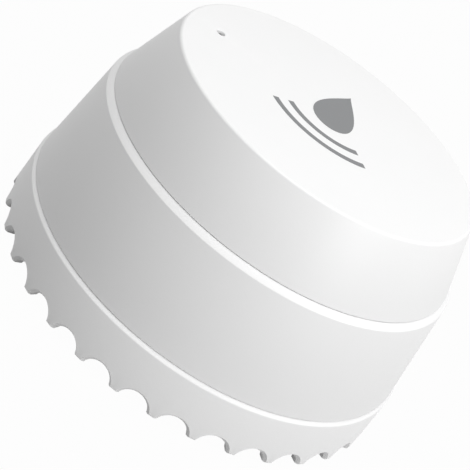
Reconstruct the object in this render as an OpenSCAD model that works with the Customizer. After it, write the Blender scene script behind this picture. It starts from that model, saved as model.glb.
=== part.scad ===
// Round battery water leak sensor: a white puck in three tapering tiers on a scalloped foot.
// Millimetres, +Z up, origin on the floor under the centre of the puck.

/* [Batteries] */
// Diameter of one AAA cell
cell_d = 10.5; // [9.5:0.1:11.5]
// Length of one AAA cell over its button
cell_l = 44.5; // [40:0.5:48]
// Diameter of the cell's positive button
button_d = 3.8; // [3:0.1:4.5]
// Height of the cell's positive button
button_h = 1.0; // [0.6:0.1:1.4]
// Space between the two cells
cell_gap = 1.0; // [0.6:0.1:2]
// Play of a cell in its trough, on the radius
cell_play = 0.15; // [0.05:0.05:0.4]
// Space for the contact at each end of a cell
contact_room = 1.8; // [1.6:0.1:3]
// Width and height of a contact pad
pad_w = 7.0; // [5:0.1:7.2]
// Thickness of the contact strip
strip_t = 0.4; // [0.2:0.05:0.5]
// Width of a solder leg
leg_w = 1.6; // [1:0.1:3]
// Wire of a contact spring
wire_d = 0.45; // [0.3:0.05:0.5]
// Radius of a contact spring where it sits on its pad
spring_r = 3.1; // [2.6:0.1:3.2]
// Radius of a contact spring where it meets the cell
spring_tip_r = 1.2; // [0.9:0.1:1.4]
// Turns of a contact spring
spring_turns = 2; // [1.5:0.5:2]

/* [Outer shape] */
// Room between the battery tray and the shell, on the radius
case_room = 0.6; // [0.4:0.1:3]
// Wall of the middle shell and of the cap's side
wall = 1.8; // [1.4:0.1:2.4]
// Thickness of the cap's flat top
cap_top_t = 1.8; // [1.2:0.1:2.6]
// How much the middle shell widens down to the lower seam, on the radius
shell_flare = 2.5; // [2.2:0.1:4]
// How much the skirt widens from the lower seam to the floor, on the radius
skirt_flare = 0.3; // [0:0.05:1.5]
// How much the cap draws in up to its top corner, on the radius
cap_draw = 4.6; // [3:0.1:6.5]
// Height of the skirt up to the lower seam
skirt_h = 7.9; // [7:0.1:8.4]
// Height of the upper seam over the cells' axis
seam_rise = 4.2; // [3.6:0.05:6]
// Height of the cap over the upper seam
cap_h = 12; // [9:0.25:18]
// Radius of the cap's top edge
top_edge_r = 0.5; // [0.3:0.1:3]
// Width of the bevel under the lower seam, on the radius
lower_run = 0.55; // [0.3:0.05:1.2]
// Height of the bevel under the lower seam
lower_rise = 0.5; // [0.3:0.05:0.8]
// Width of the bevel under the upper seam, on the radius
upper_run = 0.85; // [0.5:0.05:1.2]
// Height of the bevel under the upper seam
upper_rise = 0.85; // [0.4:0.05:1]
// How far the middle shell stands in from the skirt at the lower seam
shell_step = 0.3; // [0.1:0.05:0.6]
// How far the cap stands in from the middle shell at the upper seam
cap_step = 0.45; // [0.1:0.05:0.8]
// Open gap at each seam
seam_gap = 0.1; // [0.1:0.05:0.3]
// Small chamfer on the moulded edges
edge = 0.2; // [0.1:0.05:0.3]

/* [Scalloped base] */
// Number of arches round the foot
scallop_count = 32; // [24:1:40]
// Width of the foot between two arches
foot_w = 1.8; // [1.4:0.1:2.6]
// Height of an arch
arch_h = 1.75; // [1.2:0.05:2.2]
// Width of the bevel round an arch's outer edge
arch_flare = 0.6; // [0.1:0.05:0.8]
// Wall of the skirt
skirt_t = 1.6; // [1.2:0.1:1.8]
// Height of the base's floor over the ground
floor_lift = 2.4; // [2.3:0.1:3.2]
// Thickness of the base's floor
floor_t = 1.8; // [1.4:0.1:2.6]

/* [Twist fit] */
// Thickness of the shell's bottom rim
rim_t = 2.9; // [2.7:0.1:3.6]
// Room between the neck and the rim round it, on the radius
neck_room = 0.35; // [0.3:0.05:0.6]
// Wall of the neck
neck_t = 2.8; // [2.4:0.1:3.4]
// Space between the neck and the battery tray over it
neck_gap = 0.6; // [0.3:0.1:1.2]
// Depth of the rim's tongue below the lower seam
tongue_drop = 1.6; // [0.8:0.1:2.2]
// Thickness of the sealing ring
seal_d = 1.5; // [1.2:0.05:1.6]
// Depth of the groove for the sealing ring
seal_depth = 1.35; // [1.1:0.05:1.4]
// Number of lugs
lug_count = 3; // [2:1:4]
// Width of a lug, in degrees
lug_w = 8; // [5:1:12]
// Height of a lug
lug_h = 1.3; // [1:0.1:1.6]
// Reach of a lug past the neck's face
lug_reach = 1.0; // [0.7:0.05:1.2]
// Clearance round a lug in its channel
lug_room = 0.3; // [0.2:0.05:0.4]
// Rise of the channel over one full turn
thread_lead = 36; // [30:1:48]

/* [Electrodes] */
// Distance of each electrode from the middle, along X and along Y
probe_at = 9.5; // [9.3:0.1:11]
// Gap between an electrode's head and the ground
probe_gap = 0.6; // [0.3:0.1:0.9]
// Diameter of an electrode's head
probe_head_d = 6.4; // [5:0.1:8]
// Thickness of an electrode's head
probe_head_t = 1.3; // [0.8:0.1:1.4]
// Diameter of an electrode's shank
probe_d = 3.0; // [2.5:0.1:3.4]
// Width of the nut across its corners
nut_d = 6.35; // [5.6:0.05:6.4]
// Thickness of the nut
nut_t = 2.0; // [1.6:0.1:2.4]

/* [Circuit board] */
// Height of the board over the base's floor
board_lift = 1.4; // [1:0.1:2]
// Thickness of the board
board_t = 1.6; // [1:0.1:2]
// Room round the board inside the neck, on the radius
board_room = 0.6; // [0.3:0.1:1]
// Space for parts between the board and the battery tray
part_room = 6.6; // [6.4:0.1:8]
// Diameter of the sounder
sounder_d = 12; // [9:0.5:12]
// Height of the sounder
sounder_h = 8.5; // [5:0.5:12]
// Space between the sounder and the battery tray
sounder_gap = 0.15; // [0.1:0.05:1]
// Margin of the board outside the sounder
board_edge = 0.6; // [0.3:0.1:1.5]
// Width of the radio module
radio_w = 16; // [12:0.5:16]
// Length of the radio module
radio_l = 24; // [18:0.5:24]
// Thickness of the radio module's board
radio_t = 0.8; // [0.6:0.1:1.2]
// Height of the shield can on the radio module
shield_h = 2.2; // [1.6:0.1:3]
// Margin of the radio module's board round its shield can
shield_edge = 1; // [0.5:0.1:2]
// Length of the bare aerial end of the radio module
aerial_l = 6; // [4:0.5:8]
// Diameter of the upright capacitor
capacitor_d = 6.3; // [5:0.1:8]
// Height of the upright capacitor
capacitor_h = 5.4; // [4:0.1:5.8]
// Width of the main chip
chip_w = 5; // [3:0.5:5]
// Thickness of the main chip
chip_t = 1; // [0.7:0.1:1.6]
// Width of the push switch
switch_w = 6; // [5:0.1:6]
// Height of the push switch
switch_h = 3.5; // [3:0.1:4.5]
// Diameter of the push switch's button
plunger_d = 3.5; // [2.5:0.1:3.6]
// Height of the button's top over the board
plunger_top = 8; // [6:0.5:11]
// Travel of the button
press_travel = 0.3; // [0.2:0.05:0.5]

/* [Battery tray] */
// Wall of the tray
tray_wall = 1.1; // [0.8:0.1:1.6]
// Thickness of the tray's floor under the cells
tray_floor = 1.0; // [0.8:0.1:1.6]
// Diameter of a tray post
post_d = 5; // [4.4:0.1:5.4]
// Distance of the tray posts from the middle, along Y
post_y = 14.5; // [13.6:0.1:15.5]
// Thickness of the ear over a post
ear_t = 1.6; // [1.2:0.1:2.4]
// Diameter of a tray screw
screw_d = 1.9; // [1.6:0.1:2.2]
// Diameter of a tray screw's head
screw_head_d = 3.8; // [3.2:0.1:4.2]
// Height of a tray screw's head
screw_head_h = 1.4; // [1:0.1:1.8]

/* [Indicator] */
// Distance of the pinhole from the middle
window_r = 19.5; // [18:0.1:20]
// Direction of the pinhole, in degrees from +X
window_angle = 182; // [178:1:190]
// Diameter of the pinhole
pinhole_d = 1.35; // [1:0.05:1.8]
// Depth of the clear plug's tip below the top face
pinhole_depth = 0.6; // [0.3:0.05:0.7]
// Diameter of the clear plug's flange
plug_d = 3.2; // [2.6:0.1:4]
// Diameter of the light pipe
pipe_d = 2.6; // [2:0.1:3]

/* [Hidden] */
$fa = 4;
$fs = 0.4;

// Small overlap that fuses two shapes of one piece
fuse = 0.3;
// Running clearance of a round piece in its hole, on the radius
hole_room = 0.06;
// Clearance of a screw or an electrode in a plain hole, on the radius
pass_room = 0.15;
// Clearance between seated pieces
seat_room = 0.05;
// Reach of a cut past the faces it opens
over = 1;
// Chamfer on bought-in turned pieces
turned_edge = 0.5;

// Heights, from the floor up
floor_top = floor_lift + floor_t;
board_z = floor_top + board_lift;
board_top = board_z + board_t;
tray_z = board_top + part_room;
cell_z = tray_z + tray_floor + cell_play + cell_d / 2;
upper_z = cell_z + seam_rise;
case_h = upper_z + cap_h;
lip_z = skirt_h + lower_rise;
shell_z = lip_z + seam_gap;
rim_z = upper_z + upper_rise;
cap_z = rim_z + seam_gap;

// Battery tray, sized to its cells
cell_pitch = cell_d + cell_gap;
bay_y = cell_l / 2 + contact_room;
pad_x = cell_pitch / 2 + pad_w / 2;
tray_y = bay_y + tray_wall;
tray_x = cell_pitch / 2 + cell_d / 2 + cell_play + tray_wall;
tray_r = sqrt(tray_y * tray_y + pad_x * pad_x);
trough_z = cell_z - cell_d / 5;
end_z = cell_z + cell_d / 6;
pad_top = cell_z + cell_d / 5;
pad_trim = 1;
pad_low = pad_top - pad_w + pad_trim;
post_web = 0.4;
post_x = tray_x + post_web + post_d / 2;

// Sounder, beside the tray
sounder_x = tray_x + sounder_gap + sounder_d / 2;
sounder_far = sounder_x + sounder_d / 2 + board_edge;

// Outer radii, built outwards from the tray or from the sounder, whichever needs more
neck_need = sounder_far + board_room + neck_t + neck_room + rim_t;
upper_r = max(tray_r + case_room + wall, neck_need - shell_flare);
lower_r = upper_r + shell_flare;
base_r = lower_r + skirt_flare;
function shell_r(z) = upper_r + (shell_flare - shell_step) * (upper_z - z) / (upper_z - skirt_h);
function cap_r(z) = upper_r - cap_step - (cap_draw - cap_step) * (z - upper_z) / cap_h;
function skirt_r(z) = base_r - skirt_flare * z / skirt_h;

// Neck, seal and twist lugs
land_r = lower_r - rim_t;
neck_r = land_r - neck_room;
neck_in_r = neck_r - neck_t;
neck_z = tray_z - neck_gap;
seal_rise = 0.2;
seal_play = 0.2;
seal_z = skirt_h + seal_rise;
seal_top = seal_z + seal_d + seal_play;
seal_r = neck_r - seal_depth + seat_room + seal_d / 2;
land_over = 0.3;
land_top = seal_top + land_over;
land_slope = 0.8;
lug_rise = 0.8;
lug_z = seal_top + lug_rise;
lug_in_r = neck_r - lug_reach;
board_r = neck_in_r - board_room;

// Arches: a circle through the two feet and the arch's top
arch_w = 2 * PI * base_r / scallop_count - foot_w;
arch_r = (arch_w * arch_w / 4 + arch_h * arch_h) / (2 * arch_h);
arch_z = arch_h - arch_r;

// Bevels at the seams, kept off the rims' inner faces
gasket_w = 0.5;
lip_run = min(lower_run, skirt_t - edge);
rim_run = min(upper_run, wall - gasket_w - edge / 2);

// Shell tongue inside the skirt
tongue_room = 0.25;
tongue_z = shell_z - tongue_drop;
tongue_r = lower_r - skirt_t - tongue_room;

// Cap fit and indicator
spigot_room = 0.2;
spigot_r = upper_r - wall - spigot_room;
spigot_t = 1.3;
spigot_drop = 1.75;
spigot_z = cap_z - spigot_drop;
bead_h = 0.5;
bead_reach = 0.65;
bead_rise = 0.25;
bead_room = 0.1;
bead_z = spigot_z + bead_rise;
gasket_h = 0.6;
cap_in_z = case_h - cap_top_t;
boss_h = 0.9;
boss_t = 1;
plug_t = 1.2;
pipe_gap = 0.5;
pipe_top = cap_in_z - boss_h - pipe_gap;
pipe_foot_t = 0.8;
led_l = 2.0;
led_w = 1.25;
led_h = 0.8;
led_room = 0.5;
foot_web = 0.9;

// Places of the parts on the board
radio_at = [2.5, -9];
chip_at = [-9, 3];
capacitor_at = [-1.5, 12];
switch_at = [-18, 7.5];
window_at = [window_r * cos(window_angle), window_r * sin(window_angle)];
probe_places = [[probe_at, probe_at], [-probe_at, -probe_at]];
post_places = [for (sx = [-1, 1], sy = [-1, 1]) [sx * post_x, sy * post_y]];

// Small features of the bought-in pieces
plunger_z = board_top + switch_h / 2;
pilot_z = floor_lift + floor_t / 2;
probe_boss_t = 1.7;
pin_proud = 0.5;
gasket_inset = 0.4;
sound_hole_d = 2;
sound_hole_depth = 1.5;
crimp_rise = 1.3;

// Contact springs: conical coils wound from the pad to the cell's flat end
rings_per_turn = 8;
wire_sides = 6;
spring_rings = rings_per_turn * spring_turns;
spring_run = contact_room - strip_t - wire_d - 2 * seat_room;
function spring_at(i) =
    let (t = i / spring_rings, r = spring_r + (spring_tip_r - spring_r) * t, a = 360 * spring_turns * t)
    [r * cos(a), r * sin(a), wire_d / 2 + seat_room + spring_run * t];
spring_least_gap = min([for (i = [0:spring_rings], j = [i + rings_per_turn - 2:1:spring_rings])
    norm(spring_at(i) - spring_at(j)) - wire_d]);
echo(spring_least_gap = spring_least_gap);

// Solid of revolution about Z
module turned(points) {
    rotate_extrude() polygon(points);
}

// Repeats its children at each place in a list
module at_each(places) {
    for (p = places) translate([p[0], p[1], 0]) children();
}

// Upright cylinder between two heights
module rod(r, z0, z1) {
    translate([0, 0, z0]) cylinder(r = r, h = z1 - z0);
}

// One arch of the foot, with a bevel round its outer edge
module arch_cut() {
    translate([0, 0, arch_z]) rotate([0, 90, 0]) {
        translate([0, 0, base_r - skirt_t - over]) cylinder(r = arch_r, h = skirt_t + 2 * over);
        translate([0, 0, base_r - arch_flare])
            cylinder(r1 = arch_r, r2 = arch_r + 2 * arch_flare, h = 2 * arch_flare);
    }
}

// One climbing channel in the neck, open at the top, that a lug runs out of
module lug_channel() {
    back = 360 * (lug_h + lug_room) / thread_lead;
    ahead = lug_w + 360 * lug_room / thread_lead;
    span = back + ahead;
    steps = 8;
    rise = neck_z + fuse - (lug_z - lug_room);
    low = 360 * lug_room / thread_lead;
    arc = [for (i = [0:steps]) -back - low + span * i / steps];
    outer_r = neck_r + fuse;
    inner_r = lug_in_r - lug_room;
    translate([0, 0, lug_z - lug_room])
        linear_extrude(height = rise, twist = -360 * rise / thread_lead, slices = 6, $fa = 90, $fs = 90)
            polygon(concat([for (a = arc) outer_r * [cos(a), sin(a)]],
                           [for (i = [steps:-1:0]) inner_r * [cos(arc[i]), sin(arc[i])]]));
}

module base_cup() {
    skirt_in = base_r - skirt_t;
    top_in = lower_r - skirt_t;
    color("white") difference() {
        union() {
            turned([[0, floor_lift], [skirt_r(floor_lift) - skirt_t, floor_lift], [skirt_in, 0],
                    [base_r - edge, 0], [base_r, edge], [lower_r, skirt_h], [lower_r - lip_run, lip_z],
                    [top_in, lip_z], [skirt_r(floor_top) - skirt_t, floor_top], [neck_r, floor_top],
                    [neck_r, neck_z - edge], [neck_r - edge, neck_z], [neck_in_r + edge, neck_z],
                    [neck_in_r, neck_z - edge], [neck_in_r, floor_top], [0, floor_top]]);
            at_each(post_places) rod(post_d / 2, floor_top - fuse, board_z);
            at_each(probe_places) rod(probe_d / 2 + probe_boss_t, floor_top - fuse, board_z);
        }
        for (i = [0:scallop_count - 1]) rotate(360 * (i + 0.5) / scallop_count) arch_cut();
        rotate_extrude() translate([neck_r - seal_depth, seal_z])
            square([seal_depth + over, seal_top - seal_z]);
        for (i = [0:lug_count - 1]) rotate(360 * i / lug_count) lug_channel();
        at_each(post_places) rod(screw_d / 2 + hole_room, pilot_z, board_z + over);
        at_each(probe_places) rod(probe_d / 2 + pass_room, 0, board_z + over);
    }
}

module probe_pins() {
    r = probe_d / 2;
    head_r = probe_head_d / 2;
    head_top = probe_gap + probe_head_t;
    tip = board_top + nut_t + pin_proud;
    color("goldenrod") at_each(probe_places)
        turned([[0, probe_gap], [head_r - turned_edge, probe_gap], [head_r, probe_gap + turned_edge],
                [head_r, head_top], [r, head_top], [r, tip - edge], [r - edge, tip], [0, tip]]);
}

module probe_gaskets() {
    low = probe_gap + probe_head_t;
    color("dimgray") at_each(probe_places) difference() {
        rod(probe_head_d / 2 - gasket_inset, low, floor_lift);
        rod(probe_d / 2 + hole_room, low - over, floor_lift + over);
    }
}

module probe_nuts() {
    color("silver") at_each(probe_places) difference() {
        translate([0, 0, board_top]) cylinder(d = nut_d, h = nut_t, $fn = 6);
        rod(probe_d / 2 + hole_room, board_top - over, board_top + nut_t + over);
    }
}

// Round board inside the neck, trimmed flush with the tray's ends where it would reach past them
module circuit_board() {
    color("darkgreen") difference() {
        intersection() {
            rod(board_r, board_z, board_top);
            translate([-board_r, -tray_y, board_z - over])
                cube([2 * board_r, 2 * tray_y, board_t + 2 * over]);
        }
        at_each(post_places) rod(screw_d / 2 + pass_room, board_z - over, board_top + over);
        at_each(probe_places) rod(probe_d / 2 + pass_room, board_z - over, board_top + over);
    }
}

// Two cell troughs with open contact bays at their ends
module trough_cut() {
    for (side = [-1, 1]) translate([side * cell_pitch / 2, 0, cell_z]) rotate([90, 0, 0])
        cylinder(r = cell_d / 2 + cell_play, h = 2 * bay_y, center = true);
    open_x = cell_pitch / 2 + cell_d / 2 + cell_play;
    translate([-open_x, -bay_y, cell_z]) cube([2 * open_x, 2 * bay_y, cell_d]);
}

module battery_tray() {
    slot_w = leg_w + 2 * pass_room;
    slot_y = bay_y - strip_t - pass_room;
    color("gainsboro") difference() {
        union() {
            intersection() {
                union() {
                    translate([-tray_x, -tray_y, tray_z]) cube([2 * tray_x, 2 * tray_y, trough_z - tray_z]);
                    for (y = [-tray_y, tray_y - tray_wall]) translate([-tray_x, y, tray_z])
                        cube([2 * tray_x, tray_wall, end_z - tray_z]);
                }
                rod(tray_r, tray_z - over, end_z + over);
            }
            for (p = post_places) {
                translate([p[0], p[1], 0]) rod(post_d / 2, board_top, tray_z + ear_t);
                translate([min(p[0], sign(p[0]) * (tray_x - fuse)), p[1] - post_d / 2, tray_z])
                    cube([post_x - tray_x + fuse, post_d, ear_t]);
            }
        }
        trough_cut();
        at_each(post_places) rod(screw_d / 2 + pass_room, board_top - over, tray_z + ear_t + over);
        for (side = [-1, 1]) translate([side * cell_pitch / 2 - slot_w / 2, slot_y, tray_z - over])
            cube([slot_w, bay_y - slot_y, cell_d]);
    }
}

module tray_screws() {
    seat = tray_z + ear_t;
    tip = pilot_z + seat_room;
    r = screw_d / 2;
    head_r = screw_head_d / 2;
    top = seat + screw_head_h;
    color("silver") at_each(post_places)
        turned([[0, tip], [r - turned_edge, tip], [r, tip + turned_edge], [r, seat], [head_r, seat],
                [head_r, top - turned_edge], [head_r - turned_edge, top], [0, top]]);
}

// One cell standing on its flat end
module cell() {
    can_l = cell_l - button_h;
    r = cell_d / 2;
    button_r = button_d / 2;
    turned([[0, 0], [r - turned_edge, 0], [r, turned_edge], [r, can_l - turned_edge],
            [r - turned_edge, can_l], [button_r, can_l], [button_r, cell_l - edge],
            [button_r - edge, cell_l], [0, cell_l]]);
}

// Places its children at both cells, from the flat end to the button along +Z
module along_cells() {
    for (side = [-1, 1]) translate([side * cell_pitch / 2, side * cell_l / 2, cell_z])
        rotate([side * 90, 0, 0]) children();
}

module battery_cells() {
    color("dimgray") along_cells() cell();
}

// One coil spring as an unbroken six-sided tube, from its pad at z = 0 up to the cell
module coil_spring() {
    points = [for (i = [0:spring_rings], k = [0:wire_sides - 1])
        let (p = spring_at(i), a = atan2(p[1], p[0]), b = 360 * k / wire_sides)
        p + wire_d / 2 * [cos(b) * cos(a), cos(b) * sin(a), sin(b)]];
    sides = [for (i = [0:spring_rings - 1], k = [0:wire_sides - 1])
        let (a = i * wire_sides + k, b = i * wire_sides + (k + 1) % wire_sides)
        each [[a, b, b + wire_sides], [a, b + wire_sides, a + wire_sides]]];
    last = spring_rings * wire_sides;
    ends = [for (k = [1:wire_sides - 2]) each [[0, k + 1, k], [last, last + k, last + k + 1]]];
    polyhedron(points, concat(sides, ends));
}

module contact_springs() {
    color("silver") along_cells() translate([0, 0, -(contact_room - strip_t)]) coil_spring();
}

// One contact pad behind a cell, facing -Y at the +Y end
module contact_pad(side) {
    translate([side * cell_pitch / 2 - pad_w / 2, bay_y - strip_t, pad_low])
        cube([pad_w, strip_t, pad_top - pad_low]);
}

// Pressed bump that reaches a cell's button
module contact_bump(side) {
    reach = contact_room - strip_t - seat_room;
    translate([side * cell_pitch / 2, bay_y - strip_t + fuse / 2, cell_z]) rotate([90, 0, 0])
        cylinder(r1 = button_d * 0.6, r2 = button_d * 0.4, h = reach + fuse / 2);
}

module terminal_plates() {
    color("silver") {
        for (side = [-1, 1]) {
            contact_pad(side);
            translate([side * cell_pitch / 2 - leg_w / 2, bay_y - strip_t, board_top])
                cube([leg_w, strip_t, pad_low + fuse - board_top]);
        }
        contact_bump(-1);
    }
}

module bridge_plate() {
    color("silver") mirror([0, 1, 0]) {
        for (side = [-1, 1]) contact_pad(side);
        translate([-cell_pitch / 2, bay_y - strip_t, cell_z + fuse])
            cube([cell_pitch, strip_t, pad_top - cell_z - fuse]);
        contact_bump(1);
    }
}

module sounder() {
    r = sounder_d / 2;
    top = board_top + sounder_h;
    color("black") translate([sounder_x, 0, 0]) difference() {
        turned([[0, board_top], [r, board_top], [r, top - turned_edge], [r - turned_edge, top], [0, top]]);
        rod(sound_hole_d / 2, top - sound_hole_depth, top + over);
    }
}

module radio_board() {
    color("navy") translate([radio_at[0] - radio_w / 2, radio_at[1] - radio_l / 2, board_top])
        cube([radio_w, radio_l, radio_t]);
}

module radio_shield() {
    can_w = radio_w - 2 * shield_edge;
    can_l = radio_l - 2 * shield_edge - aerial_l;
    can_y = radio_at[1] + radio_l / 2 - shield_edge - can_l;
    color("silver") translate([radio_at[0] - can_w / 2, can_y, board_top + radio_t])
        cube([can_w, can_l, shield_h]);
}

module control_chip() {
    color("black") translate([chip_at[0] - chip_w / 2, chip_at[1] - chip_w / 2, board_top])
        cube([chip_w, chip_w, chip_t]);
}

module storage_capacitor() {
    r = capacitor_d / 2;
    top = board_top + capacitor_h;
    crimp_z = board_top + crimp_rise;
    color("silver") translate([capacitor_at[0], capacitor_at[1], 0])
        turned([[0, board_top], [r, board_top], [r, crimp_z - edge], [r - edge, crimp_z], [r, crimp_z + edge],
                [r, top - edge], [r - edge, top], [0, top]]);
}

module status_led() {
    color("ivory") translate([window_at[0] - led_l / 2, window_at[1] - led_w / 2, board_top])
        cube([led_l, led_w, led_h]);
}

module light_pipe() {
    r = pipe_d / 2;
    room_r = sqrt(led_l * led_l + led_w * led_w) / 2 + led_room;
    room_z = board_top + led_h + led_room;
    foot_r = room_r + pipe_foot_t;
    foot_z = room_z + foot_web;
    color("lightcyan") translate([window_at[0], window_at[1], 0])
        turned([[0, room_z], [room_r, room_z], [room_r, board_top], [foot_r, board_top],
                [foot_r, foot_z], [r, foot_z + turned_edge], [r, pipe_top - turned_edge],
                [r - turned_edge, pipe_top], [0, pipe_top]]);
}

module reset_switch() {
    color("black") translate([switch_at[0], switch_at[1], 0]) difference() {
        translate([-switch_w / 2, -switch_w / 2, board_top]) cube([switch_w, switch_w, switch_h]);
        rod(plunger_d / 2 + hole_room, plunger_z - press_travel - seat_room, board_top + switch_h + over);
    }
}

module reset_button() {
    r = plunger_d / 2;
    top = board_top + plunger_top;
    color("orangered") translate([switch_at[0], switch_at[1], 0])
        turned([[0, plunger_z], [r, plunger_z], [r, top - edge], [r - edge, top], [0, top]]);
}

module base_seal() {
    color("dimgray") translate([0, 0, (seal_z + seal_top) / 2])
        rotate_extrude() translate([seal_r, 0]) circle(d = seal_d);
}

// One lug on the inside of the shell
module lug() {
    rotate_extrude(angle = lug_w)
        polygon([[lug_in_r, lug_z + edge], [lug_in_r + edge, lug_z], [shell_r(lug_z) - wall + fuse, lug_z],
                 [shell_r(lug_z) - wall + fuse, lug_z + lug_h], [lug_in_r + edge, lug_z + lug_h],
                 [lug_in_r, lug_z + lug_h - edge]]);
}

module middle_shell() {
    low_in = land_top + land_slope;
    gasket_r = upper_r - wall + gasket_w;
    gasket_z = cap_z - gasket_h;
    color("white") {
        difference() {
            turned([[land_r, tongue_z + edge], [land_r + edge, tongue_z], [tongue_r - edge, tongue_z],
                    [tongue_r, tongue_z + edge], [tongue_r, shell_z], [shell_r(shell_z) - edge, shell_z],
                    [shell_r(shell_z + edge), shell_z + edge], [upper_r, upper_z],
                    [upper_r - rim_run, rim_z], [gasket_r, rim_z], [gasket_r, gasket_z],
                    [upper_r - wall, gasket_z], [shell_r(low_in) - wall, low_in], [land_r, land_top]]);
            rotate_extrude() translate([spigot_r - over, bead_z - bead_room])
                square([over + bead_reach + bead_room, bead_h + 2 * bead_room]);
        }
        for (i = [0:lug_count - 1]) rotate(360 * i / lug_count) lug();
    }
}

module cap_gasket() {
    color("gray") difference() {
        rod(upper_r - wall + gasket_w - seat_room, cap_z - gasket_h, cap_z);
        rod(upper_r - wall, cap_z - gasket_h - over, cap_z + over);
    }
}

// Outside of the cap, with its rounded top edge
module cap_outline() {
    lean = atan2(cap_draw - cap_step, cap_h);
    reach = top_edge_r * tan((90 - lean) / 2);
    top_r = cap_r(case_h);
    polygon([[0, cap_z], [cap_r(cap_z) - edge, cap_z], [cap_r(cap_z + edge), cap_z + edge],
             [top_r + reach * sin(lean), case_h - reach * cos(lean)], [top_r - reach, case_h], [0, case_h]]);
    translate([top_r - reach, case_h - top_edge_r]) circle(r = top_edge_r);
}

module top_cap() {
    spigot_in = spigot_r - spigot_t;
    meet_z = upper_z + (upper_r - cap_step - wall - spigot_in) * cap_h / (cap_draw - cap_step);
    color("white") difference() {
        union() {
            difference() {
                union() {
                    rotate_extrude() cap_outline();
                    turned([[0, spigot_z], [spigot_r - edge, spigot_z], [spigot_r, spigot_z + edge],
                            [spigot_r, bead_z], [spigot_r + bead_reach, bead_z + bead_h * 0.4],
                            [spigot_r + bead_reach, bead_z + bead_h * 0.6], [spigot_r, bead_z + bead_h],
                            [spigot_r, cap_z + fuse], [0, cap_z + fuse]]);
                }
                turned([[0, spigot_z - over], [spigot_in, spigot_z - over], [spigot_in, meet_z],
                        [cap_r(cap_in_z) - wall, cap_in_z], [0, cap_in_z]]);
            }
            translate([window_at[0], window_at[1], 0])
                rod(plug_d / 2 + boss_t, cap_in_z - boss_h, cap_in_z + fuse);
        }
        translate([window_at[0], window_at[1], 0]) {
            rod(pinhole_d / 2, cap_in_z - boss_h - over, case_h + over);
            rod(plug_d / 2 + hole_room, cap_in_z - boss_h - over, cap_in_z - boss_h + plug_t);
        }
    }
}

module indicator_window() {
    low = cap_in_z - boss_h;
    shoulder_z = low + plug_t - seat_room;
    top = case_h - pinhole_depth;
    r = pinhole_d / 2 - hole_room;
    color("lightcyan") translate([window_at[0], window_at[1], 0])
        turned([[0, low], [plug_d / 2, low], [plug_d / 2, shoulder_z], [r, shoulder_z], [r, top], [0, top]]);
}

base_cup();
probe_pins();
probe_gaskets();
probe_nuts();
circuit_board();
battery_tray();
tray_screws();
battery_cells();
contact_springs();
terminal_plates();
bridge_plate();
sounder();
radio_board();
radio_shield();
control_chip();
storage_capacitor();
status_led();
light_pipe();
reset_switch();
reset_button();
base_seal();
middle_shell();
top_cap();
cap_gasket();
indicator_window();
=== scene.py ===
# Round water leak sensor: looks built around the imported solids, in the same frame.
# Sizes in the sections are in millimetres; the scene itself is in metres.
import math

import bpy
from mathutils import Matrix, Vector


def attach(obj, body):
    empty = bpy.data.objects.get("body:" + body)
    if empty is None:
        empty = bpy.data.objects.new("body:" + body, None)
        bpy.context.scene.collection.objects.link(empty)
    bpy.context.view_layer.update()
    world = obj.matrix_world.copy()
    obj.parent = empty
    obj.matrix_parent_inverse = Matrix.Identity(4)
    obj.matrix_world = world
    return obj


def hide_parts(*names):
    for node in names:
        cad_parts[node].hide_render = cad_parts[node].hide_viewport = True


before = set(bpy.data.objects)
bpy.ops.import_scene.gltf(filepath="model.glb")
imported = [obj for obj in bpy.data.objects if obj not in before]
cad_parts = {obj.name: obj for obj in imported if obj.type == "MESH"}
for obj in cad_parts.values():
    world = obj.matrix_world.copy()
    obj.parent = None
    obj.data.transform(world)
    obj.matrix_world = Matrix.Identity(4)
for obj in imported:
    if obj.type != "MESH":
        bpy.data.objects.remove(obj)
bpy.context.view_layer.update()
MM = 0.001
# Points closer than this, in metres, are one point; faces thinner than the other are slivers.
WELD, SLIVER = 1e-7, 1e-6


# Camera: a long lens in front of the puck and above it.
# It is rolled to one side, so the upright puck leans to the right in the picture.
camera_at = (-0.855, -194.609, 114.434)
round_deg, down_deg, roll_deg = 2.4, 27.626, 37.436
camera_data = bpy.data.cameras.new("camera")
camera_data.sensor_width = 36
camera_data.lens = 114.9
camera_data.clip_start = 0.01
camera = bpy.data.objects.new("camera", camera_data)
bpy.context.scene.collection.objects.link(camera)
camera_round = Matrix.Rotation(math.radians(round_deg), 4, "Z")
camera_place = Matrix.Translation([v * MM for v in camera_at])
camera_tilt = Matrix.Rotation(math.radians(90 - down_deg), 4, "X")
camera_roll = Matrix.Rotation(math.radians(roll_deg), 4, "Z")
camera.matrix_world = camera_round @ camera_place @ camera_tilt @ camera_roll
bpy.context.scene.camera = camera
bpy.context.scene.view_settings.view_transform = "Standard"


# Floor, white surroundings and soft light, as in a small product studio.
# Camera, mirror and glass rays see the surroundings white; the floor still takes the puck's shadow.
def seen_directly(nodes, links):
    """Value that is 1 for camera, mirror and glass rays, and 0 for light bouncing between surfaces."""
    path = nodes.new("ShaderNodeLightPath")
    mirror_or_glass = nodes.new("ShaderNodeMath")
    mirror_or_glass.operation = "MAXIMUM"
    links.new(path.outputs["Is Glossy Ray"], mirror_or_glass.inputs[0])
    links.new(path.outputs["Is Transmission Ray"], mirror_or_glass.inputs[1])
    any_of_them = nodes.new("ShaderNodeMath")
    any_of_them.operation = "MAXIMUM"
    links.new(path.outputs["Is Camera Ray"], any_of_them.inputs[0])
    links.new(mirror_or_glass.outputs[0], any_of_them.inputs[1])
    return any_of_them.outputs[0]


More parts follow.
